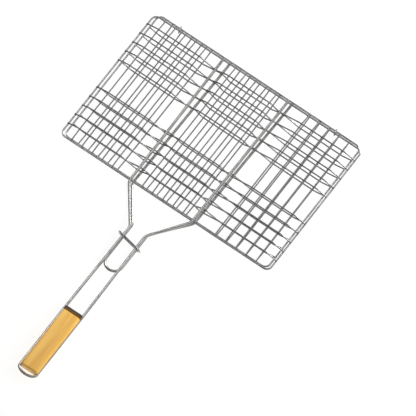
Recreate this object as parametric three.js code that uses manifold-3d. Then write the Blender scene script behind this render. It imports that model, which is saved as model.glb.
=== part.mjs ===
// Folding grill basket: two shallow wire halves joined by two clips along the far edge,
// a long handle with a wooden grip on the lid, a short handle on the base, and a wire
// ring that slides along both handles to hold the basket shut.
//
// Millimetres, +Z up. While it is modelled, X = 0 is the middle of the basket, Y = 0 the
// lid's near frame wire and Z = 0 the plane where the halves meet. At the end the model
// moves so that its origin is at the bottom centre of its bounding box.

import * as THREE from 'three';
import Module from 'manifold-3d';
import { mergeVertices } from 'three/addons/utils/BufferGeometryUtils.js';

const wasm = await Module();
wasm.setup();

// Wire radii
const FRAME_WIRE = 1.35;
const GRID_WIRE = 1;
const HANDLE_WIRE = 2;
const RING_WIRE = 1.25;
const CLIP_WIRE = 1;
const WIRE_SIDES = 8;
const GAP = 0.3;

// The two halves. "up" is +1 for the lid and -1 for the base, whose grid bulges down. The
// grid wires stand in three blocks of five, one block for each food compartment.
const LID = {
  name: 'lid',
  up: 1,
  halfWidth: 171,
  nearY: 0,
  farY: 221.5,
  blockMiddles: [-119.5, -3.5, 116.5],
  gridPitch: 16.7,
  crossPitch: 16.8,
};
const BASE = {
  name: 'base',
  up: -1,
  halfWidth: 166.5,
  nearY: 3,
  farY: 226,
  blockMiddles: [-112, 0.8, 115.6],
  gridPitch: 16.15,
  crossPitch: 16.3,
};
const FRAME_PLANE = FRAME_WIRE + GAP / 2;
const FRAME_CORNER = 8;
const WIRE_OVERHANG = 1;

// Distances out from a half's own frame plane
const RIM_RISE = FRAME_WIRE + GRID_WIRE + GAP;
const GRID_RISE = 5;
const CROSS_RISE = GRID_RISE + 2 * GRID_WIRE + GAP;
const HANDLE_RISE = FRAME_WIRE + HANDLE_WIRE + GAP;
const DIP_RISE = HANDLE_RISE - HANDLE_WIRE - GRID_WIRE - GAP;

// Wire layout, in pitches from the middle of a block and from the middle of a half
const BLOCK_PLACES = [-2, -1, 0, 1, 2];
const CROSS_PLACES = [-5.5, -4.5, -3.5, -2.5, -1.5, 1.5, 2.5, 3.5, 4.5, 5.5];
const GRID_SLOPE = 18;
const CROSS_SLOPE = 16;
const DIP_FLAT = 3.5;
const DIP_CLEARANCE = 1.5;

// Handles: where their left and right arms run, seen from above. Each arm crosses the
// basket from its far edge to a bend at its near edge, then closes in to a narrow neck.
const ARM_BEND_RADIUS = 12;
const NECK_HEIGHT = HANDLE_WIRE + 0.2;
const LONG_HANDLE = {
  farX: [-57.6, 48.8],
  nearX: [-55.2, 47.3],
  nearY: -4,
  neckX: [-16, 8.6],
  neckY: -57,
};
const SHORT_HANDLE = {
  farX: [-48.6, 53.4],
  nearX: [-52.2, 49],
  nearY: 0.5,
  neckX: [-16, 9.6],
  neckY: -51,
};
const SHORT_END_Y = -124;
const GRIP_ARM_X = [-17.6, 10.1];
const LOOP_DEPTH = 7.5;

// Wooden grip and its metal ferrule
const FERRULE_FRONT_Y = -205.3;
const FERRULE_LENGTH = 5.2;
const FERRULE_PROUD = 0.3;
const GRIP_FRONT_Y = FERRULE_FRONT_Y - FERRULE_LENGTH - GAP;
const GRIP_LENGTH = 100;
const GRIP_LEFT = -17.1;
const GRIP_RIGHT = 10.5;
const GRIP_THICKNESS = 14;
const GRIP_EDGE = 3;
const GRIP_END_ROUND = 1.5;

// Latch ring and hinge clips
const RING_Y = -75;
const RING_X = -4.2;
const RING_INNER_HALF_WIDTH = 18.1;
const RING_INNER_HALF_HEIGHT = 5.2;
const RING_CORNER = 4.5;
const RING_SKEW = THREE.MathUtils.degToRad(11);
const RING_LEAN = THREE.MathUtils.degToRad(12);
const CLIP_PLACES = [-131, 125.5];
const CLIP_INNER_RADIUS = FRAME_WIRE + 0.6;
const CLIP_SKEW = THREE.MathUtils.degToRad(15);

const chrome = { color: 0x9b9b9d, roughness: 0.32, metalness: 1 };
const wood = { color: 0xe0b062, roughness: 0.55, metalness: 0 };
const darkSteel = { color: 0x3f3021, roughness: 0.5, metalness: 0.4 };

const model = new THREE.Group();

function addPiece(name, geometry, finish) {
  const mesh = new THREE.Mesh(geometry, new THREE.MeshStandardMaterial(finish));
  mesh.name = name;
  model.add(mesh);
  return mesh;
}

// A bent wire's centre line: straight runs between points, square across each bend.
class BentLine extends THREE.Curve {
  constructor(points, closed) {
    super();
    this.points = points;
    this.closed = closed;
    this.runs = closed ? points.length : points.length - 1;
  }

  corner(index) {
    const count = this.points.length;
    return this.points[this.closed ? (index + count) % count : THREE.MathUtils.clamp(index, 0, count - 1)];
  }

  getUtoTmapping(u) {
    return u;
  }

  getPoint(t, target = new THREE.Vector3()) {
    const place = t * this.runs;
    const index = Math.min(Math.floor(place + 1e-9), this.runs - 1);
    return target.lerpVectors(this.corner(index), this.corner(index + 1), place - index);
  }

  getTangent(t, target = new THREE.Vector3()) {
    const index = Math.round(t * this.runs);
    const here = this.corner(index);
    const arriving = here.clone().sub(this.corner(index - 1)).normalize();
    const leaving = this.corner(index + 1).clone().sub(here).normalize();
    return target.addVectors(arriving, leaving).normalize();
  }
}

// The wire's section has flats that stand at its true radius.
function wireSection(radius) {
  const section = new THREE.Shape();
  const cornerRadius = radius / Math.cos(Math.PI / WIRE_SIDES);
  for (let side = 0; side < WIRE_SIDES; side += 1) {
    const angle = (side + 0.5) * 2 * Math.PI / WIRE_SIDES;
    const x = cornerRadius * Math.cos(angle);
    const y = cornerRadius * Math.sin(angle);
    if (side === 0) section.moveTo(x, y);
    else section.lineTo(x, y);
  }
  section.closePath();
  return section;
}

function wire(points, radius) {
  const extrudePath = new BentLine(points, false);
  return new THREE.ExtrudeGeometry(wireSection(radius), { steps: extrudePath.runs, extrudePath });
}

// A closed loop has no ends, so only the swept sides are kept and they meet each other.
function wireLoop(points, radius) {
  const extrudePath = new BentLine(points, true);
  const swept = new THREE.ExtrudeGeometry(wireSection(radius), { steps: extrudePath.runs, extrudePath });
  const sides = swept.groups.find((group) => group.materialIndex === 1);
  const positions = swept.attributes.position.array.slice(3 * sides.start, 3 * (sides.start + sides.count));
  const loop = new THREE.BufferGeometry();
  loop.setAttribute('position', new THREE.BufferAttribute(positions, 3));
  return smoothed(mergeVertices(loop));
}

function smoothed(geometry) {
  geometry.computeVertexNormals();
  return geometry;
}

// Points along a circular bend that replaces a sharp corner
function bend(before, corner, after, radius, steps) {
  const arriving = corner.clone().sub(before).normalize();
  const leaving = after.clone().sub(corner).normalize();
  const turn = arriving.angleTo(leaving);
  const start = corner.clone().addScaledVector(arriving, -radius * Math.tan(turn / 2));
  const inward = leaving.clone().addScaledVector(arriving, -Math.cos(turn)).normalize();
  return Array.from({ length: steps + 1 }, (_, step) => {
    const angle = turn * step / steps;
    return start.clone()
      .addScaledVector(arriving, radius * Math.sin(angle))
      .addScaledVector(inward, radius * (1 - Math.cos(angle)));
  });
}

function roundedLoop(corners, radius, steps) {
  const count = corners.length;
  return corners.flatMap((corner, index) => (
    bend(corners[(index + count - 1) % count], corner, corners[(index + 1) % count], radius, steps)
  ));
}

// Height of a point that stands a given distance out from a half's frame plane
function heightIn(half, rise) {
  return half.up * (FRAME_PLANE + rise);
}

function addFrame(half) {
  const height = heightIn(half, 0);
  const corners = [
    new THREE.Vector3(-half.halfWidth, half.nearY, height),
    new THREE.Vector3(half.halfWidth, half.nearY, height),
    new THREE.Vector3(half.halfWidth, half.farY, height),
    new THREE.Vector3(-half.halfWidth, half.farY, height),
  ];
  addPiece(`${half.name}_frame`, wireLoop(roundedLoop(corners, FRAME_CORNER, 4), FRAME_WIRE), chrome);
}

// Wires that run from the near frame wire to the far one, raised between them
function addGridWires(half) {
  const blockPlaces = (middle) => BLOCK_PLACES.map((place) => middle + place * half.gridPitch);
  half.blockMiddles.flatMap(blockPlaces).forEach((x, index) => {
    const point = (y, rise) => new THREE.Vector3(x, y, heightIn(half, rise));
    const points = [
      point(half.nearY - WIRE_OVERHANG, RIM_RISE),
      point(half.nearY, RIM_RISE),
      point(half.nearY + GRID_SLOPE, GRID_RISE),
      point(half.farY - GRID_SLOPE, GRID_RISE),
      point(half.farY, RIM_RISE),
      point(half.farY + WIRE_OVERHANG, RIM_RISE),
    ];
    const number = String(index + 1).padStart(2, '0');
    addPiece(`${half.name}_grid_wire_${number}`, wire(points, GRID_WIRE), chrome);
  });
}

// X of one handle arm where it crosses the basket at y; side 0 is the left arm, 1 the right
function armX(half, handle, side, y) {
  const farness = (y - handle.nearY) / (half.farY - handle.nearY);
  return THREE.MathUtils.lerp(handle.nearX[side], handle.farX[side], farness);
}

// A wire that runs from side to side over the grid wires. It dips under the two handle
// arms, which divides the half into three food compartments.
function crossProfile(half, handle, y) {
  const [leftMiddle, middle, rightMiddle] = half.blockMiddles;
  const blockHalf = 2 * half.gridPitch + GRID_WIRE + DIP_CLEARANCE;
  const leftArm = armX(half, handle, 0, y);
  const rightArm = armX(half, handle, 1, y);
  return [
    [-half.halfWidth - WIRE_OVERHANG, RIM_RISE],
    [-half.halfWidth, RIM_RISE],
    [-half.halfWidth + CROSS_SLOPE, CROSS_RISE],
    [leftMiddle + blockHalf, CROSS_RISE],
    [leftArm - DIP_FLAT, DIP_RISE],
    [leftArm + DIP_FLAT, DIP_RISE],
    [middle - blockHalf, CROSS_RISE],
    [middle + blockHalf, CROSS_RISE],
    [rightArm - DIP_FLAT, DIP_RISE],
    [rightArm + DIP_FLAT, DIP_RISE],
    [rightMiddle - blockHalf, CROSS_RISE],
    [half.halfWidth - CROSS_SLOPE, CROSS_RISE],
    [half.halfWidth, RIM_RISE],
    [half.halfWidth + WIRE_OVERHANG, RIM_RISE],
  ];
}

function addCrossWires(half, handle) {
  const middleY = (half.nearY + half.farY) / 2;
  CROSS_PLACES.forEach((place, index) => {
    const y = middleY + place * half.crossPitch;
    const profile = crossProfile(half, handle, y);
    const points = profile.map(([x, rise]) => new THREE.Vector3(x, y, heightIn(half, rise)));
    const number = String(index + 1).padStart(2, '0');
    addPiece(`${half.name}_cross_wire_${number}`, wire(points, GRID_WIRE), chrome);
  });
}

// One arm of a handle, from the far edge of the basket to the end of its narrow neck
function handleArm(half, handle, side, neckEnd) {
  const armHeight = heightIn(half, HANDLE_RISE);
  const farY = half.farY + WIRE_OVERHANG;
  const farEnd = new THREE.Vector3(armX(half, handle, side, farY), farY, armHeight);
  const outerBend = new THREE.Vector3(handle.nearX[side], handle.nearY, armHeight);
  const innerBend = new THREE.Vector3(handle.neckX[side], handle.neckY, half.up * NECK_HEIGHT);
  return [
    farEnd,
    ...bend(farEnd, outerBend, innerBend, ARM_BEND_RADIUS, 4),
    ...bend(outerBend, innerBend, neckEnd, ARM_BEND_RADIUS, 4),
    neckEnd,
  ];
}

// The curve that joins the two arms: half an ellipse from the left arm to the right one
function endCurve([leftX, rightX], startY, depth, height, steps) {
  const centreX = (leftX + rightX) / 2;
  const halfWidth = (rightX - leftX) / 2;
  return Array.from({ length: steps - 1 }, (_, step) => {
    const angle = Math.PI * (step + 1) / steps;
    const x = centreX - halfWidth * Math.cos(angle);
    return new THREE.Vector3(x, startY - depth * Math.sin(angle), height);
  });
}

function longHandlePoints() {
  const gripRearY = GRIP_FRONT_Y - GRIP_LENGTH;
  const arm = (side) => {
    const x = GRIP_ARM_X[side];
    const gripFront = new THREE.Vector3(x, FERRULE_FRONT_Y, NECK_HEIGHT);
    const gripRear = new THREE.Vector3(x, gripRearY, NECK_HEIGHT);
    return [...handleArm(LID, LONG_HANDLE, side, gripFront), gripRear];
  };
  const loop = endCurve(GRIP_ARM_X, gripRearY, LOOP_DEPTH, NECK_HEIGHT, 12);
  return [...arm(0), ...loop, ...arm(1).reverse()];
}

function shortHandlePoints() {
  const [leftX, rightX] = SHORT_HANDLE.neckX;
  const depth = (rightX - leftX) / 2;
  const curveStartY = SHORT_END_Y + depth;
  const arm = (side) => {
    const neckEnd = new THREE.Vector3(SHORT_HANDLE.neckX[side], curveStartY, -NECK_HEIGHT);
    return handleArm(BASE, SHORT_HANDLE, side, neckEnd);
  };
  const curve = endCurve(SHORT_HANDLE.neckX, curveStartY, depth, -NECK_HEIGHT, 12);
  return [...arm(0), ...curve, ...arm(1).reverse()];
}

function solid(geometry) {
  const bare = geometry.clone();
  bare.deleteAttribute('normal');
  bare.deleteAttribute('uv');
  const merged = mergeVertices(bare);
  const vertProperties = new Float32Array(merged.attributes.position.array);
  const triVerts = new Uint32Array(merged.index.array);
  return new wasm.Manifold(new wasm.Mesh({ numProp: 3, vertProperties, triVerts }));
}

function geometryOf(body) {
  const mesh = body.getMesh();
  const geometry = new THREE.BufferGeometry();
  geometry.setAttribute('position', new THREE.BufferAttribute(new Float32Array(mesh.vertProperties), 3));
  geometry.setIndex(new THREE.BufferAttribute(new Uint32Array(mesh.triVerts), 1));
  return smoothed(geometry);
}

function roundedRectangle(left, right, bottom, top, radius) {
  const outline = new THREE.Shape();
  outline.moveTo(left + radius, bottom);
  outline.absarc(right - radius, bottom + radius, radius, -Math.PI / 2, 0);
  outline.absarc(right - radius, top - radius, radius, 0, Math.PI / 2);
  outline.absarc(left + radius, top - radius, radius, Math.PI / 2, Math.PI);
  outline.absarc(left + radius, bottom + radius, radius, Math.PI, 3 * Math.PI / 2);
  return outline;
}

// A block with the grip's outline, from frontY towards the hanging loop. "proud" is how
// far it stands out all round, and "endRound" softens its two ends.
function gripBlock(frontY, length, proud, endRound) {
  const inset = endRound - proud;
  const outline = roundedRectangle(
    GRIP_LEFT + inset,
    GRIP_RIGHT - inset,
    NECK_HEIGHT - GRIP_THICKNESS / 2 + inset,
    NECK_HEIGHT + GRIP_THICKNESS / 2 - inset,
    GRIP_EDGE,
  );
  const block = new THREE.ExtrudeGeometry(outline, {
    depth: length - 2 * endRound,
    curveSegments: 4,
    bevelEnabled: endRound > 0,
    bevelThickness: endRound,
    bevelSize: endRound,
    bevelSegments: 3,
  });
  block.rotateX(Math.PI / 2);
  block.translate(0, frontY - endRound, 0);
  return solid(block);
}

// The groove that one handle arm lies in, open along the block's side face. The arm's
// middle is close to that face. The groove overshoots both ends.
function armGroove(x) {
  const start = new THREE.Vector3(x, FERRULE_FRONT_Y + 10, NECK_HEIGHT);
  const end = new THREE.Vector3(x, GRIP_FRONT_Y - GRIP_LENGTH - 10, NECK_HEIGHT);
  return solid(wire([start, end], HANDLE_WIRE + GAP));
}

function withGrooves(block) {
  const [leftGroove, rightGroove] = GRIP_ARM_X.map(armGroove);
  return geometryOf(block.subtract(leftGroove).subtract(rightGroove));
}

function addGrip() {
  const grip = gripBlock(GRIP_FRONT_Y, GRIP_LENGTH, 0, GRIP_END_ROUND);
  addPiece('grip', withGrooves(grip), wood);
}

function addFerrule() {
  const ferrule = gripBlock(FERRULE_FRONT_Y, FERRULE_LENGTH, FERRULE_PROUD, 0);
  addPiece('ferrule', withGrooves(ferrule), darkSteel);
}

function addLatchRing() {
  const halfWidth = RING_INNER_HALF_WIDTH + RING_WIRE;
  const halfHeight = RING_INNER_HALF_HEIGHT + RING_WIRE;
  const corners = [
    new THREE.Vector3(-halfWidth, 0, -halfHeight),
    new THREE.Vector3(halfWidth, 0, -halfHeight),
    new THREE.Vector3(halfWidth, 0, halfHeight),
    new THREE.Vector3(-halfWidth, 0, halfHeight),
  ];
  const ring = addPiece('latch_ring', wireLoop(roundedLoop(corners, RING_CORNER, 5), RING_WIRE), chrome);
  ring.position.set(RING_X, RING_Y, 0);
  ring.rotation.set(RING_LEAN, 0, -RING_SKEW);
}

// Each clip is an oval loop round the two far frame wires. Its lower end turns freely
// on the base's wire, which is the hinge axis.
function addHingeClips() {
  const radius = CLIP_INNER_RADIUS + CLIP_WIRE;
  const hingeMiddleY = (BASE.farY + LID.farY) / 2;
  const baseWire = new THREE.Vector2(BASE.farY - hingeMiddleY, -FRAME_PLANE);
  const lidWire = new THREE.Vector2(LID.farY - hingeMiddleY, FRAME_PLANE);
  const lean = baseWire.clone().sub(lidWire).angle();
  const endTurn = (centre, startAngle) => Array.from({ length: 7 }, (_, step) => {
    const angle = startAngle + Math.PI * step / 6;
    return new THREE.Vector3(0, centre.x + radius * Math.cos(angle), centre.y + radius * Math.sin(angle));
  });
  const loop = [...endTurn(baseWire, lean - Math.PI / 2), ...endTurn(lidWire, lean + Math.PI / 2)];
  CLIP_PLACES.forEach((x, index) => {
    const clip = addPiece(`hinge_clip_${index + 1}`, wireLoop(loop, CLIP_WIRE), chrome);
    clip.position.set(x, hingeMiddleY, 0);
    clip.rotation.z = CLIP_SKEW;
  });
}

addFrame(LID);
addGridWires(LID);
addCrossWires(LID, LONG_HANDLE);
addPiece('long_handle', wire(longHandlePoints(), HANDLE_WIRE), chrome);
addGrip();
addFerrule();
addHingeClips();

addFrame(BASE);
addGridWires(BASE);
addCrossWires(BASE, SHORT_HANDLE);
addPiece('short_handle', wire(shortHandlePoints(), HANDLE_WIRE), chrome);

addLatchRing();

model.updateMatrixWorld(true);
const bounds = new THREE.Box3().setFromObject(model, true);
const middle = bounds.getCenter(new THREE.Vector3());
model.position.set(-middle.x, -middle.y, -bounds.min.z);

export default model;
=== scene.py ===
# Looks of the grill basket: round, smoothly bent and welded chrome wire, a wooden grip
# with pressed-in wire grooves, a dark ferrule, the studio and the camera.
# Everything is in metres, in the same frame as the CAD model.

import math
import random

import bmesh
import bpy
from mathutils import Matrix, Vector, noise


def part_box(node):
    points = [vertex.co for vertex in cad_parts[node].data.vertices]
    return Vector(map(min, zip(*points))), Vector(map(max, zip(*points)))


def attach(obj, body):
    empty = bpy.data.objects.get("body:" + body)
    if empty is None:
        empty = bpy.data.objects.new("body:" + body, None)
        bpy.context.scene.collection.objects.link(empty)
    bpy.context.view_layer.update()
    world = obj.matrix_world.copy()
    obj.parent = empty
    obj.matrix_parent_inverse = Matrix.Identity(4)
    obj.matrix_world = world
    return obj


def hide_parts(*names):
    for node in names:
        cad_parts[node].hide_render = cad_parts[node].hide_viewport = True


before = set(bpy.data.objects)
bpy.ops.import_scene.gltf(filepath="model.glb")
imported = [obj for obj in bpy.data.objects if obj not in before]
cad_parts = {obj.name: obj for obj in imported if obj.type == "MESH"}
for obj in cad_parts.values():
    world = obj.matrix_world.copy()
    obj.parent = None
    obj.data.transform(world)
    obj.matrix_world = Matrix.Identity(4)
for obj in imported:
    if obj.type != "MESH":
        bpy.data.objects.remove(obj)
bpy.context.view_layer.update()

MM = 0.001
rng = random.Random(7)

# Wire radii
FRAME_WIRE = 1.35 * MM
GRID_WIRE = 1.0 * MM
HANDLE_WIRE = 2.0 * MM
RING_WIRE = 1.25 * MM
CLIP_WIRE = 1.0 * MM
GAP = 0.3 * MM

# Bends
FRAME_CORNER = 8 * MM
GRID_SLOPE = 18 * MM
CROSS_SLOPE = 16 * MM
RIM_BEND = 7 * MM
CREST_BEND = 12 * MM
DIP_BEND = 5 * MM
DIP_FLAT = 3.5 * MM
DIP_CLEARANCE = 1.5 * MM
ARM_BEND = 12 * MM
CUT_CHAMFER = 0.25 * MM

# The handles' left and right arms: X at the far and near edge of the basket and in the
# neck. Y counts from the lid's near frame wire.
LONG_HANDLE = {
    "node": "long_handle",
    "far_x": (-57.6 * MM, 48.8 * MM),
    "near_x": (-55.2 * MM, 47.3 * MM),
    "near_y": -4 * MM,
    "neck_x": (-16 * MM, 8.6 * MM),
    "neck_y": -57 * MM,
}
SHORT_HANDLE = {
    "node": "short_handle",
    "far_x": (-48.6 * MM, 53.4 * MM),
    "near_x": (-52.2 * MM, 49 * MM),
    "near_y": 0.5 * MM,
    "neck_x": (-16 * MM, 9.6 * MM),
    "neck_y": -51 * MM,
}
NECK_WIRE_LIFT = 0.2 * MM
GRIP_ARM_X = (-17.6 * MM, 10.1 * MM)
LOOP_DEPTH = 7.5 * MM

# Ring and clips
RING_SKEW = math.radians(11)
RING_LEAN = math.radians(12)
RING_INNER_HALF_WIDTH = 18.1 * MM
RING_INNER_HALF_HEIGHT = 5.2 * MM
RING_CORNER = 4.5 * MM
CLIP_PLAY = 0.6 * MM
CLIP_SKEW = math.radians(15)

# Weld beads: their size on crossing grid wires, and how much larger they are elsewhere
WELD_RADIUS = 1.15 * GRID_WIRE
WELD_THICKNESS = 2 * (GAP + 0.55 * MM)
GRID_ON_RIM_WELD = 1.1
ARM_ON_CROSS_WELD = 1.3
ARM_ON_RIM_WELD = 1.6
SIDE_RIM_WELD_INSET = 0.2 * MM

# Grip and ferrule
BLOCK_EDGE = 3.5 * MM
GRIP_END_ROUNDING = 2.0 * MM
FERRULE_END_ROUNDING = 0.5 * MM
GROOVE_CLEARANCE = 0.12 * MM

# How finely curves are divided
END_CURVE_STEPS = 28
CLIP_END_STEPS = 14

# Studio. A lamp has a name, a place, a width and a power in watts.
KEY_LAMP = ("key", (1.2, 3.8, 2.2), 1.2, 150)
FILL_LAMP = ("fill", (-1.5, 1.0, 3.0), 1.6, 25)
WORLD_TURN = math.radians(-20)
FLOOR_HALF_WIDTH = 6.0
FLOOR_GREY = 0.62
FLOOR_GLOW = 0.5

# Camera. It aims at a point in front of the lid, then shifts right and up in its view.
CAMERA_AZIMUTH = math.radians(27.8)
CAMERA_ELEVATION = math.radians(64.7)
CAMERA_ROLL = math.radians(8.0)
CAMERA_DISTANCE = 22.0
CAMERA_CLIP_END = 100
SENSOR_WIDTH = 36
PIXELS_ACROSS = 416
PIXELS_PER_METRE = 745.0
AIM_BELOW_LID = 53 * MM
AIM_RIGHT = 0.0894
AIM_UP = 0.0316


def centre_of(node):
    low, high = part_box(node)
    return (low + high) / 2


def half_of(name, up, handle):
    """Where one wire half lies, read from its CAD frame wire and grid."""
    low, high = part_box(f"{name}_frame")
    grid_low, grid_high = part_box(f"{name}_grid_wire_01")
    cross_low, cross_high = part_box(f"{name}_cross_wire_01")
    crest = grid_high.z - GRID_WIRE if up > 0 else grid_low.z + GRID_WIRE
    ridge = cross_high.z - GRID_WIRE if up > 0 else cross_low.z + GRID_WIRE
    dip = cross_low.z + GRID_WIRE if up > 0 else cross_high.z - GRID_WIRE
    return {
        "name": name,
        "up": up,
        "handle": handle,
        "left": low.x + FRAME_WIRE,
        "right": high.x - FRAME_WIRE,
        "near": low.y + FRAME_WIRE,
        "far": high.y - FRAME_WIRE,
        "z": (low.z + high.z) / 2,
        "rim": (low.z + high.z) / 2 + up * (FRAME_WIRE + GRID_WIRE + GAP),
        "crest": crest,
        "ridge": ridge,
        "dip": dip,
        "end_x": cross_high.x,
        "near_end": grid_low.y,
        "far_end": grid_high.y,
        "grid_x": [centre_of(n).x for n in numbered(name, "grid")],
        "cross_y": [centre_of(n).y for n in numbered(name, "cross")],
    }


def numbered(half_name, kind):
    start = f"{half_name}_{kind}_wire_"
    return sorted(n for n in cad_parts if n.startswith(start))


LID = half_of("lid", 1, LONG_HANDLE)
BASE = half_of("base", -1, SHORT_HANDLE)
MIDDLE_Z = (LID["z"] + BASE["z"]) / 2


# ---------------------------------------------------------------- wire geometry

def bend(before, corner, after, radius, steps):
    """Points on a circular bend that replaces the sharp corner."""
    arriving = (corner - before).normalized()
    leaving = (after - corner).normalized()
    turn = arriving.angle(leaving)
    if turn < 1e-4:
        return [corner.copy()]
    room = 0.48 * min((corner - before).length, (after - corner).length)
    radius = min(radius, room / math.tan(turn / 2))
    start = corner - arriving * radius * math.tan(turn / 2)
    inward = (leaving - arriving * math.cos(turn)).normalized()
    points = []
    for step in range(steps + 1):
        angle = turn * step / steps
        points.append(start + arriving * radius * math.sin(angle) + inward * radius * (1 - math.cos(angle)))
    return points


def rounded(corners, radii, steps=5):
    """An open line with each inner corner bent to its radius."""
    points = [corners[0]]
    for index in range(1, len(corners) - 1):
        radius = radii[index - 1] if isinstance(radii, list) else radii
        points += bend(corners[index - 1], corners[index], corners[index + 1], radius, steps)
    return points + [corners[-1]]


def rounded_loop(corners, radius, steps):
    count = len(corners)
    points = []
    for index, corner in enumerate(corners):
        points += bend(corners[index - 1], corner, corners[(index + 1) % count], radius, steps)
    return points


def frames_along(points, closed):
    """A tangent and two cross directions at each point, turned as little as possible."""
    count = len(points)
    tangents = []
    for index in range(count):
        before = points[index - 1] if closed or index > 0 else points[0]
        after = points[(index + 1) % count] if closed or index < count - 1 else points[-1]
        here = points[index]
        arriving = (here - before).normalized() if (here - before).length > 0 else Vector()
        leaving = (after - here).normalized() if (after - here).length > 0 else Vector()
        tangents.append((arriving + leaving).normalized())
    up = Vector((0, 0, 1))
    if abs(tangents[0].dot(up)) > 0.9:
        up = Vector((1, 0, 0))
    side = tangents[0].cross(up).normalized()
    sides = []
    for tangent in tangents:
        side = (side - tangent * side.dot(tangent)).normalized()
        sides.append(side)
    return [(t, s, t.cross(s)) for t, s in zip(tangents, sides)]


def tube_mesh(points, radius, closed=False, sides=12, chamfer=CUT_CHAMFER):
    """Vertices and faces of a round wire. An open wire has cut, slightly broken ends."""
    frames = frames_along(points, closed)
    stations = [(p, f, radius) for p, f in zip(points, frames)]
    if not closed:
        first, last = stations[0], stations[-1]
        stations[0] = (first[0] + first[1][0] * chamfer, first[1], radius)
        stations[-1] = (last[0] - last[1][0] * chamfer, last[1], radius)
        stations.insert(0, (first[0], first[1], radius - chamfer))
        stations.append((last[0], last[1], radius - chamfer))
    vertices = []
    for point, (_, side, other), ring_radius in stations:
        for step in range(sides):
            angle = 2 * math.pi * step / sides
            out = side * ring_radius * math.cos(angle)
            across = other * ring_radius * math.sin(angle)
            vertices.append(point + out + across)
    faces = []
    rings = len(stations)
    for ring in range(rings if closed else rings - 1):
        here = ring * sides
        there = (ring + 1) % rings * sides
        for step in range(sides):
            following = (step + 1) % sides
            faces.append((here + step, here + following, there + following, there + step))
    if not closed:
        faces.append(tuple(reversed(range(sides))))
        faces.append(tuple(range((rings - 1) * sides, rings * sides)))
    return vertices, faces


def new_object(name, vertices, faces, material, smooth_angle=math.radians(40)):
    mesh = bpy.data.meshes.new(name)
    mesh.from_pydata([tuple(v) for v in vertices], [], faces)
    mesh.update()
    piece = bpy.data.objects.new(name, mesh)
    bpy.context.scene.collection.objects.link(piece)
    mesh.materials.append(material)
    face_outwards(mesh)
    for polygon in mesh.polygons:
        polygon.use_smooth = True
    mesh.set_sharp_from_angle(angle=smooth_angle)
    return piece


def face_outwards(mesh):
    shape = bmesh.new()
    shape.from_mesh(mesh)
    bmesh.ops.recalc_face_normals(shape, faces=shape.faces)
    shape.to_mesh(mesh)
    shape.free()


def add_wire(name, body, node, points, radius, material, closed=False, sides=12):
    vertices, faces = tube_mesh(points, radius, closed, sides)
    piece = new_object(name, vertices, faces, material)
    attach(piece, body)
    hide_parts(node)


# ---------------------------------------------------------------- materials

def shader(name):
    material = bpy.data.materials.new(name)
    material.use_nodes = True
    nodes = material.node_tree.nodes
    links = material.node_tree.links
    surface = nodes["Principled BSDF"]
    return material, nodes, links, surface


def add_noise(nodes, links, coordinates, scale, detail, roughness=0.5, distortion=0.0):
    texture = nodes.new("ShaderNodeTexNoise")
    texture.inputs["Scale"].default_value = scale
    texture.inputs["Detail"].default_value = detail
    texture.inputs["Roughness"].default_value = roughness
    texture.inputs["Distortion"].default_value = distortion
    links.new(coordinates, texture.inputs["Vector"])
    return texture.outputs["Fac"]


def add_ramp(nodes, links, value, stops):
    ramp = nodes.new("ShaderNodeValToRGB")
    elements = ramp.color_ramp.elements
    while len(elements) < len(stops):
        elements.new(0.5)
    for element, (position, colour) in zip(elements, stops):
        element.position = position
        element.color = (*colour, 1)
    links.new(value, ramp.inputs["Fac"])
    return ramp.outputs["Color"]


def add_range(nodes, links, value, low, high):
    """Spreads the middle of a noise's values over low to high."""
    spread = nodes.new("ShaderNodeMapRange")
    spread.inputs["From Min"].default_value = 0.3
    spread.inputs["From Max"].default_value = 0.7
    spread.inputs["To Min"].default_value = low
    spread.inputs["To Max"].default_value = high
    links.new(value, spread.inputs["Value"])
    return spread.outputs["Result"]


def add_bump(nodes, links, surface, height, strength, distance):
    bump = nodes.new("ShaderNodeBump")
    bump.inputs["Strength"].default_value = strength
    bump.inputs["Distance"].default_value = distance
    links.new(height, bump.inputs["Height"])
    links.new(bump.outputs["Normal"], surface.inputs["Normal"])


def object_coordinates(nodes, links, scale=(1, 1, 1)):
    source = nodes.new("ShaderNodeTexCoord")
    mapping = nodes.new("ShaderNodeMapping")
    mapping.inputs["Scale"].default_value = scale
    links.new(source.outputs["Object"], mapping.inputs["Vector"])
    return mapping.outputs["Vector"]


def chrome_wire(name, dark, light, roughness_low, roughness_high):
    """Plated wire: a slightly uneven grey, hazier in patches, with faint drawing marks."""
    material, nodes, links, surface = shader(name)
    surface.inputs["Metallic"].default_value = 1.0
    place = object_coordinates(nodes, links)
    patches = add_noise(nodes, links, place, 60, 3)
    links.new(add_ramp(nodes, links, patches, [(0.32, dark), (0.68, light)]), surface.inputs["Base Color"])
    haze = add_noise(nodes, links, place, 220, 4, 0.6)
    links.new(add_range(nodes, links, haze, roughness_low, roughness_high), surface.inputs["Roughness"])
    marks = add_noise(nodes, links, place, 1800, 2, 0.7)
    add_bump(nodes, links, surface, marks, 0.18, 0.00006)
    return material


def weld_metal():
    """Spot welds: the plating over them is duller and a little browner."""
    material, nodes, links, surface = shader("weld_metal")
    surface.inputs["Metallic"].default_value = 1.0
    place = object_coordinates(nodes, links)
    tint = add_noise(nodes, links, place, 400, 3)
    colours = [(0.3, (0.20, 0.19, 0.18)), (0.7, (0.36, 0.35, 0.34))]
    links.new(add_ramp(nodes, links, tint, colours), surface.inputs["Base Color"])
    links.new(add_range(nodes, links, tint, 0.35, 0.55), surface.inputs["Roughness"])
    add_bump(nodes, links, surface, add_noise(nodes, links, place, 2500, 3), 0.4, 0.0001)
    return material


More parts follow.
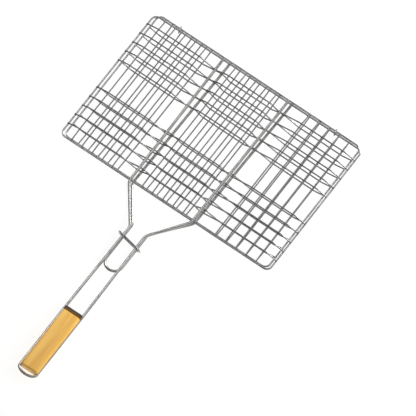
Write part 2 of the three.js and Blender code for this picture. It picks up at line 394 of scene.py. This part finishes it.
def golden_wood():
    """Varnished hardwood with straight grain along the grip, pores and soft colour bands."""
    material, nodes, links, surface = shader("golden_wood")
    along = object_coordinates(nodes, links, (1, 0.06, 1))
    bands = add_noise(nodes, links, along, 130, 4, 0.55, 0.4)
    colours = [
        (0.30, (0.84, 0.43, 0.060)),
        (0.45, (0.92, 0.50, 0.075)),
        (0.56, (0.98, 0.56, 0.095)),
        (0.70, (1.0, 0.62, 0.13)),
    ]
    grain_colour = add_ramp(nodes, links, bands, colours)
    fine = object_coordinates(nodes, links, (1, 0.02, 1))
    fibres = add_noise(nodes, links, fine, 1500, 3, 0.7)
    fibre_colour = add_ramp(nodes, links, fibres, [(0.36, (0.80, 0.72, 0.60)), (0.52, (1, 1, 1))])
    mix = nodes.new("ShaderNodeMix")
    mix.data_type = "RGBA"
    mix.blend_type = "MULTIPLY"
    mix.inputs["Factor"].default_value = 0.35
    links.new(grain_colour, mix.inputs["A"])
    links.new(fibre_colour, mix.inputs["B"])
    links.new(mix.outputs["Result"], surface.inputs["Base Color"])
    links.new(add_range(nodes, links, fibres, 0.50, 0.36), surface.inputs["Roughness"])
    surface.inputs["Coat Weight"].default_value = 0.25
    surface.inputs["Coat Roughness"].default_value = 0.28
    add_bump(nodes, links, surface, fibres, 0.25, 0.00012)
    return material


def ferrule_metal(front_y, back_y):
    """Dark brown lacquered steel with painted shade darkening the front of the band, turning a warmer brown
    towards the wood.
    """
    material, nodes, links, surface = shader("ferrule_metal")
    surface.inputs["Metallic"].default_value = 0.55
    source = nodes.new("ShaderNodeTexCoord")
    parts = nodes.new("ShaderNodeSeparateXYZ")
    links.new(source.outputs["Object"], parts.inputs["Vector"])
    along = nodes.new("ShaderNodeMapRange")
    along.inputs["From Min"].default_value = front_y
    along.inputs["From Max"].default_value = back_y
    links.new(parts.outputs["Y"], along.inputs["Value"])
    # Painted shade: the colour is darkest at the front of the band and turns a warmer brown towards the
    # wood.
    colours = [(0.0, (0.055, 0.040, 0.030)), (0.45, (0.065, 0.045, 0.028)), (1.0, (0.20, 0.115, 0.040))]
    links.new(add_ramp(nodes, links, along.outputs["Result"], colours), surface.inputs["Base Color"])
    scuffs = add_noise(nodes, links, source.outputs["Object"], 900, 4, 0.6)
    links.new(add_range(nodes, links, scuffs, 0.34, 0.6), surface.inputs["Roughness"])
    add_bump(nodes, links, surface, scuffs, 0.25, 0.0001)
    return material


FRAME_CHROME = chrome_wire("frame_chrome", (0.33, 0.33, 0.335), (0.46, 0.46, 0.465), 0.22, 0.36)
GRID_CHROME = chrome_wire("grid_chrome", (0.20, 0.20, 0.205), (0.29, 0.29, 0.295), 0.24, 0.40)
HANDLE_CHROME = chrome_wire("handle_chrome", (0.32, 0.315, 0.31), (0.46, 0.45, 0.435), 0.18, 0.32)
RING_CHROME = chrome_wire("ring_chrome", (0.30, 0.30, 0.305), (0.42, 0.42, 0.425), 0.20, 0.34)
WELD_METAL = weld_metal()
WOOD = golden_wood()


# ---------------------------------------------------------------- the two halves

def build_frame(half):
    z = half["z"]
    corners = [
        Vector((half["left"], half["near"], z)),
        Vector((half["right"], half["near"], z)),
        Vector((half["right"], half["far"], z)),
        Vector((half["left"], half["far"], z)),
    ]
    points = rounded_loop(corners, FRAME_CORNER, 10)
    name = half["name"]
    add_wire(f"{name}_rim", name, f"{name}_frame", points, FRAME_WIRE, FRAME_CHROME, True, 16)


def build_grid_wires(half):
    """Wires from the near frame wire to the far one."""
    for number, x in enumerate(half["grid_x"], 1):
        stops = [
            (half["near_end"], half["rim"]),
            (half["near"], half["rim"]),
            (half["near"] + GRID_SLOPE, half["crest"]),
            (half["far"] - GRID_SLOPE, half["crest"]),
            (half["far"], half["rim"]),
            (half["far_end"], half["rim"]),
        ]
        corners = [Vector((x, y, z)) for y, z in stops]
        points = rounded(corners, [RIM_BEND, CREST_BEND, CREST_BEND, RIM_BEND])
        node = f"{half['name']}_grid_wire_{number:02d}"
        add_wire(f"{node}_round", half["name"], node, points, GRID_WIRE, GRID_CHROME)


def arm_x(half, side, y):
    """X of one handle arm where it crosses the basket at y; side 0 is the left arm."""
    handle = half["handle"]
    near_y = LID["near"] + handle["near_y"]
    farness = (y - near_y) / (half["far"] - near_y)
    return handle["near_x"][side] + (handle["far_x"][side] - handle["near_x"][side]) * farness


def cross_profile(half, y):
    """(x, z) along a cross wire, which dips under both handle arms."""
    edge = GRID_WIRE + DIP_CLEARANCE
    block_ends = [half["grid_x"][place] for place in (4, 5, 9, 10)]
    left_arm, right_arm = arm_x(half, 0, y), arm_x(half, 1, y)
    ridge, dip, rim = half["ridge"], half["dip"], half["rim"]
    return [
        (-half["end_x"], rim),
        (half["left"], rim),
        (half["left"] + CROSS_SLOPE, ridge),
        (block_ends[0] + edge, ridge),
        (left_arm - DIP_FLAT, dip),
        (left_arm + DIP_FLAT, dip),
        (block_ends[1] - edge, ridge),
        (block_ends[2] + edge, ridge),
        (right_arm - DIP_FLAT, dip),
        (right_arm + DIP_FLAT, dip),
        (block_ends[3] - edge, ridge),
        (half["right"] - CROSS_SLOPE, ridge),
        (half["right"], rim),
        (half["end_x"], rim),
    ]


def build_cross_wires(half):
    side_radii = [RIM_BEND, CREST_BEND, CREST_BEND, DIP_BEND, DIP_BEND, DIP_BEND]
    radii = side_radii + side_radii[::-1]
    for number, y in enumerate(half["cross_y"], 1):
        points = rounded([Vector((x, y, z)) for x, z in cross_profile(half, y)], radii)
        node = f"{half['name']}_cross_wire_{number:02d}"
        add_wire(f"{node}_round", half["name"], node, points, GRID_WIRE, GRID_CHROME)


def weld_bead(centre, radius, thickness, vertices, faces):
    """A small uneven lens of weld metal between two crossing wires."""
    columns = 10
    first = len(vertices)
    swell = rng.uniform(0.92, 1.12)
    profile = [(0.0, 1.0), (0.62, 0.72), (1.0, 0.0), (0.62, -0.72), (0.0, -1.0)]
    rings = []
    for out, high in profile:
        if out == 0:
            vertices.append(centre + Vector((0, 0, high * thickness / 2)))
            rings.append([len(vertices) - 1])
            continue
        ring = []
        for column in range(columns):
            angle = 2 * math.pi * column / columns
            reach = radius * swell * out * (1 + 0.1 * noise.noise(Vector((first, column, out)) * 0.7))
            point = centre + Vector((reach * math.cos(angle), reach * math.sin(angle), high * thickness / 2))
            vertices.append(point)
            ring.append(len(vertices) - 1)
        rings.append(ring)
    for upper, lower in zip(rings, rings[1:]):
        for column in range(columns):
            following = (column + 1) % columns
            if len(upper) == 1:
                faces.append((upper[0], lower[column], lower[following]))
            elif len(lower) == 1:
                faces.append((upper[column], lower[0], upper[following]))
            else:
                faces.append((upper[column], lower[column], lower[following], upper[following]))


def build_welds(half):
    """One bead at each crossing: grid on cross, grid and cross on rim, handle on both."""
    vertices, faces = [], []
    up = half["up"]

    def bead(x, y, z, size=1.0):
        weld_bead(Vector((x, y, z)), WELD_RADIUS * size, WELD_THICKNESS, vertices, faces)

    grid_on_cross = (half["crest"] + half["ridge"]) / 2
    wire_on_rim = half["z"] + up * (FRAME_WIRE + GAP / 2)
    arm_on_cross = half["dip"] + up * (GRID_WIRE + GAP / 2)
    for x in half["grid_x"]:
        for y in half["cross_y"]:
            bead(x, y, grid_on_cross)
        for y in (half["near"], half["far"]):
            bead(x, y, wire_on_rim, GRID_ON_RIM_WELD)
    for y in half["cross_y"]:
        for x in (half["left"] + SIDE_RIM_WELD_INSET, half["right"] - SIDE_RIM_WELD_INSET):
            bead(x, y, wire_on_rim)
        for side in (0, 1):
            bead(arm_x(half, side, y), y, arm_on_cross, ARM_ON_CROSS_WELD)
    for side in (0, 1):
        for y in (half["near"], half["far"]):
            bead(arm_x(half, side, y), y, wire_on_rim, ARM_ON_RIM_WELD)
    piece = new_object(f"{half['name']}_welds", vertices, faces, WELD_METAL)
    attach(piece, half["name"])


# ---------------------------------------------------------------- handles

def handle_arm(half, side, neck_end):
    """From the far edge of the basket to the end of the handle's neck."""
    handle = half["handle"]
    low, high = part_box(handle["node"])
    arm_z = high.z - HANDLE_WIRE if half["up"] > 0 else low.z + HANDLE_WIRE
    far_end = Vector((arm_x(half, side, high.y), high.y, arm_z))
    outer = Vector((handle["near_x"][side], LID["near"] + handle["near_y"], arm_z))
    inner = Vector((handle["neck_x"][side], LID["near"] + handle["neck_y"], neck_end.z))
    return [
        far_end,
        *bend(far_end, outer, inner, ARM_BEND, 8),
        *bend(outer, inner, neck_end, ARM_BEND, 8),
        neck_end,
    ]


def end_curve(ends_x, start_y, depth, z, steps):
    """Half an ellipse that joins the left arm to the right one."""
    centre_x = (ends_x[0] + ends_x[1]) / 2
    half_width = (ends_x[1] - ends_x[0]) / 2
    points = []
    for step in range(1, steps):
        angle = math.pi * step / steps
        x = centre_x - half_width * math.cos(angle)
        points.append(Vector((x, start_y - depth * math.sin(angle), z)))
    return points


def build_long_handle():
    grip_low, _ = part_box("grip")
    _, ferrule_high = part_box("ferrule")
    neck_z = MIDDLE_Z + HANDLE_WIRE + NECK_WIRE_LIFT
    arms = []
    for side, x in enumerate(GRIP_ARM_X):
        front = Vector((x, ferrule_high.y, neck_z))
        rear = Vector((x, grip_low.y, neck_z))
        arms.append([*handle_arm(LID, side, front), rear])
    loop = end_curve(GRIP_ARM_X, grip_low.y, LOOP_DEPTH, neck_z, END_CURVE_STEPS)
    points = arms[0] + loop + arms[1][::-1]
    name = "long_handle_wire"
    add_wire(name, "lid", "long_handle", points, HANDLE_WIRE, HANDLE_CHROME, sides=20)


def build_short_handle():
    low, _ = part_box("short_handle")
    neck_z = MIDDLE_Z - HANDLE_WIRE - NECK_WIRE_LIFT
    neck_x = SHORT_HANDLE["neck_x"]
    depth = (neck_x[1] - neck_x[0]) / 2
    start_y = low.y + HANDLE_WIRE + depth
    arms = [handle_arm(BASE, side, Vector((neck_x[side], start_y, neck_z))) for side in (0, 1)]
    curve = end_curve(neck_x, start_y, depth, neck_z, END_CURVE_STEPS)
    points = arms[0] + curve + arms[1][::-1]
    name = "short_handle_wire"
    add_wire(name, "base", "short_handle", points, HANDLE_WIRE, HANDLE_CHROME, sides=20)


def build_ring():
    middle = centre_of("latch_ring")
    width = RING_INNER_HALF_WIDTH + RING_WIRE
    height = RING_INNER_HALF_HEIGHT + RING_WIRE
    turn = Matrix.Rotation(RING_LEAN, 3, "X") @ Matrix.Rotation(-RING_SKEW, 3, "Z")
    outline = ((-width, -height), (width, -height), (width, height), (-width, height))
    corners = [Vector((x, 0, z)) for x, z in outline]
    points = [middle + turn @ p for p in rounded_loop(corners, RING_CORNER, 10)]
    add_wire("latch_ring_wire", "ring", "latch_ring", points, RING_WIRE, RING_CHROME, True, 16)


def build_clips():
    """Oval loops round both far rim wires."""
    radius = FRAME_WIRE + CLIP_PLAY + CLIP_WIRE
    base_wire = Vector((0, BASE["far"], BASE["z"]))
    lid_wire = Vector((0, LID["far"], LID["z"]))
    middle = (base_wire + lid_wire) / 2
    line = base_wire - lid_wire
    lean = math.atan2(line.z, line.y)
    turn = Matrix.Rotation(CLIP_SKEW, 3, "Z")
    for node in ("hinge_clip_1", "hinge_clip_2"):
        place = Vector((centre_of(node).x, 0, 0)) + middle
        points = []
        for centre, start in ((base_wire, lean - math.pi / 2), (lid_wire, lean + math.pi / 2)):
            for step in range(CLIP_END_STEPS + 1):
                angle = start + math.pi * step / CLIP_END_STEPS
                out = Vector((0, radius * math.cos(angle), radius * math.sin(angle)))
                points.append(place + turn @ (centre - middle + out))
        add_wire(f"{node}_wire", "lid", node, points, CLIP_WIRE, RING_CHROME, True, 14)


# ---------------------------------------------------------------- grip and ferrule

def grooved_outline(low, high, arm_z, edge, groove):
    """Closed (x, z) outline of the grip: round edges and one round groove in each side."""
    left_arm, right_arm = GRIP_ARM_X
    points = []

    def arc(cx, cz, radius, start, stop, steps):
        for step in range(steps + 1):
            angle = start + (stop - start) * step / steps
            points.append((cx + radius * math.cos(angle), cz + radius * math.sin(angle)))

    right_mouth = math.acos((high.x - right_arm) / groove)
    left_mouth = math.acos((left_arm - low.x) / groove)
    arc(high.x - edge, low.z + edge, edge, -math.pi / 2, 0, 8)
    arc(right_arm, arm_z, groove, 2 * math.pi - right_mouth, right_mouth, 18)
    arc(high.x - edge, high.z - edge, edge, 0, math.pi / 2, 8)
    steps_across = 6
    for step in range(1, steps_across):
        x = high.x - edge + (low.x + 2 * edge - high.x) * step / steps_across
        points.append((x, high.z))
    arc(low.x + edge, high.z - edge, edge, math.pi / 2, math.pi, 8)
    arc(left_arm, arm_z, groove, math.pi - left_mouth, left_mouth - math.pi, 18)
    arc(low.x + edge, low.z + edge, edge, math.pi, 3 * math.pi / 2, 8)
    for step in range(1, steps_across):
        x = low.x + edge + (high.x - low.x - 2 * edge) * step / steps_across
        points.append((x, low.z))
    return points


def loft(outline, stations, centre):
    """Sweeps an outline along Y. Each station is (y, inset in x and z)."""
    vertices, faces = [], []
    count = len(outline)
    half_width = max(abs(x - centre[0]) for x, _ in outline)
    half_height = max(abs(z - centre[1]) for _, z in outline)
    for y, inset in stations:
        sx = 1 - inset / half_width
        sz = 1 - inset / half_height
        for x, z in outline:
            vertices.append(Vector((centre[0] + (x - centre[0]) * sx, y, centre[1] + (z - centre[1]) * sz)))
    for ring in range(len(stations) - 1):
        for step in range(count):
            here, following = ring * count + step, ring * count + (step + 1) % count
            faces.append((here, following, following + count, here + count))
    faces.append(tuple(range(count)))
    faces.append(tuple(reversed(range((len(stations) - 1) * count, len(stations) * count))))
    return vertices, faces


def end_round(front_y, back_y, radius, steps=5):
    """Stations that round both ends of a block over."""
    stations = []
    for step in range(steps + 1):
        angle = math.pi / 2 * step / steps
        stations.append((front_y - radius * (1 - math.cos(angle)), radius * (1 - math.sin(angle))))
    mirrored = [(back_y + (front_y - y), inset) for y, inset in reversed(stations)]
    return stations + mirrored


def build_block(name, node, material, rounding):
    low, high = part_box(node)
    arm_z = MIDDLE_Z + HANDLE_WIRE + NECK_WIRE_LIFT
    outline = grooved_outline(low, high, arm_z, BLOCK_EDGE, HANDLE_WIRE + GROOVE_CLEARANCE)
    stations = end_round(high.y, low.y, rounding)
    vertices, faces = loft(outline, stations, ((low.x + high.x) / 2, (low.z + high.z) / 2))
    piece = new_object(name, vertices, faces, material, math.radians(35))
    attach(piece, "lid")
    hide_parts(node)


# ---------------------------------------------------------------- studio and camera

def build_floor():
    half = FLOOR_HALF_WIDTH
    corners = [Vector((x, y, 0)) for x, y in ((-half, -half), (half, -half), (half, half), (-half, half))]
    material, _, _, surface = shader("studio_floor")
    surface.inputs["Base Color"].default_value = (FLOOR_GREY, FLOOR_GREY, FLOOR_GREY, 1)
    surface.inputs["Roughness"].default_value = 0.9
    surface.inputs["Emission Color"].default_value = (1, 1, 1, 1)
    surface.inputs["Emission Strength"].default_value = FLOOR_GLOW
    floor = new_object("studio_floor", corners, [(0, 1, 2, 3)], material)


def add_light(name, place, size, power):
    """A round lamp aimed at the origin. It casts no shadow."""
    lamp = bpy.data.lights.new(name, "AREA")
    lamp.shape = "DISK"
    lamp.size = size
    lamp.energy = power
    lamp.use_shadow = False
    light = bpy.data.objects.new(name, lamp)
    bpy.context.scene.collection.objects.link(light)
    light.location = place
    light.rotation_euler = (-Vector(place)).to_track_quat("-Z", "Y").to_euler()


def build_light():
    world = bpy.data.worlds.new("studio")
    bpy.context.scene.world = world
    world.use_nodes = True
    nodes = world.node_tree.nodes
    links = world.node_tree.links
    source = nodes.new("ShaderNodeTexCoord")
    direction = nodes.new("ShaderNodeMapping")
    direction.inputs["Rotation"].default_value = (0, 0, WORLD_TURN)
    links.new(source.outputs["Generated"], direction.inputs["Vector"])
    parts = nodes.new("ShaderNodeSeparateXYZ")
    links.new(direction.outputs["Vector"], parts.inputs["Vector"])
    side = nodes.new("ShaderNodeMapRange")
    side.inputs["From Min"].default_value = -1
    side.inputs["From Max"].default_value = 1
    links.new(parts.outputs["X"], side.inputs["Value"])
    shades = [(0.15, (0.05, 0.05, 0.05)), (0.45, (0.24, 0.24, 0.24)), (0.85, (0.75, 0.75, 0.75))]
    background = nodes["Background"]
    links.new(add_ramp(nodes, links, side.outputs["Result"], shades), background.inputs["Color"])
    background.inputs["Strength"].default_value = 1.0
    add_light(*KEY_LAMP)
    add_light(*FILL_LAMP)
    bpy.context.scene.view_settings.view_transform = "Standard"


def build_camera():
    """A distant, slightly rolled camera above the handle side."""
    back = Vector((
        math.sin(CAMERA_AZIMUTH) * math.cos(CAMERA_ELEVATION),
        -math.cos(CAMERA_AZIMUTH) * math.cos(CAMERA_ELEVATION),
        math.sin(CAMERA_ELEVATION),
    ))
    right = Vector((math.cos(CAMERA_AZIMUTH), math.sin(CAMERA_AZIMUTH), 0))
    up = back.cross(right)
    rolled_right = right * math.cos(CAMERA_ROLL) + up * math.sin(CAMERA_ROLL)
    rolled_up = up * math.cos(CAMERA_ROLL) - right * math.sin(CAMERA_ROLL)
    aim = Vector((0, LID["near"] - AIM_BELOW_LID, MIDDLE_Z))
    aim = aim + rolled_right * AIM_RIGHT + rolled_up * AIM_UP
    data = bpy.data.cameras.new("camera")
    data.sensor_width = SENSOR_WIDTH
    data.lens = data.sensor_width * PIXELS_PER_METRE * CAMERA_DISTANCE / PIXELS_ACROSS
    data.clip_end = CAMERA_CLIP_END
    camera = bpy.data.objects.new("camera", data)
    bpy.context.scene.collection.objects.link(camera)
    turn = Matrix((rolled_right, rolled_up, back)).transposed().to_4x4()
    camera.matrix_world = Matrix.Translation(aim + back * CAMERA_DISTANCE) @ turn
    bpy.context.scene.camera = camera


build_camera()
build_light()
build_floor()
for wire_half in (LID, BASE):
    build_frame(wire_half)
    build_grid_wires(wire_half)
    build_cross_wires(wire_half)
    build_welds(wire_half)
build_long_handle()
build_short_handle()
build_ring()
build_clips()
build_block("grip_wood", "grip", WOOD, GRIP_END_ROUNDING)
ferrule_low, ferrule_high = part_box("ferrule")
FERRULE = ferrule_metal(ferrule_high.y, ferrule_low.y)
build_block("ferrule_band", "ferrule", FERRULE, FERRULE_END_ROUNDING)
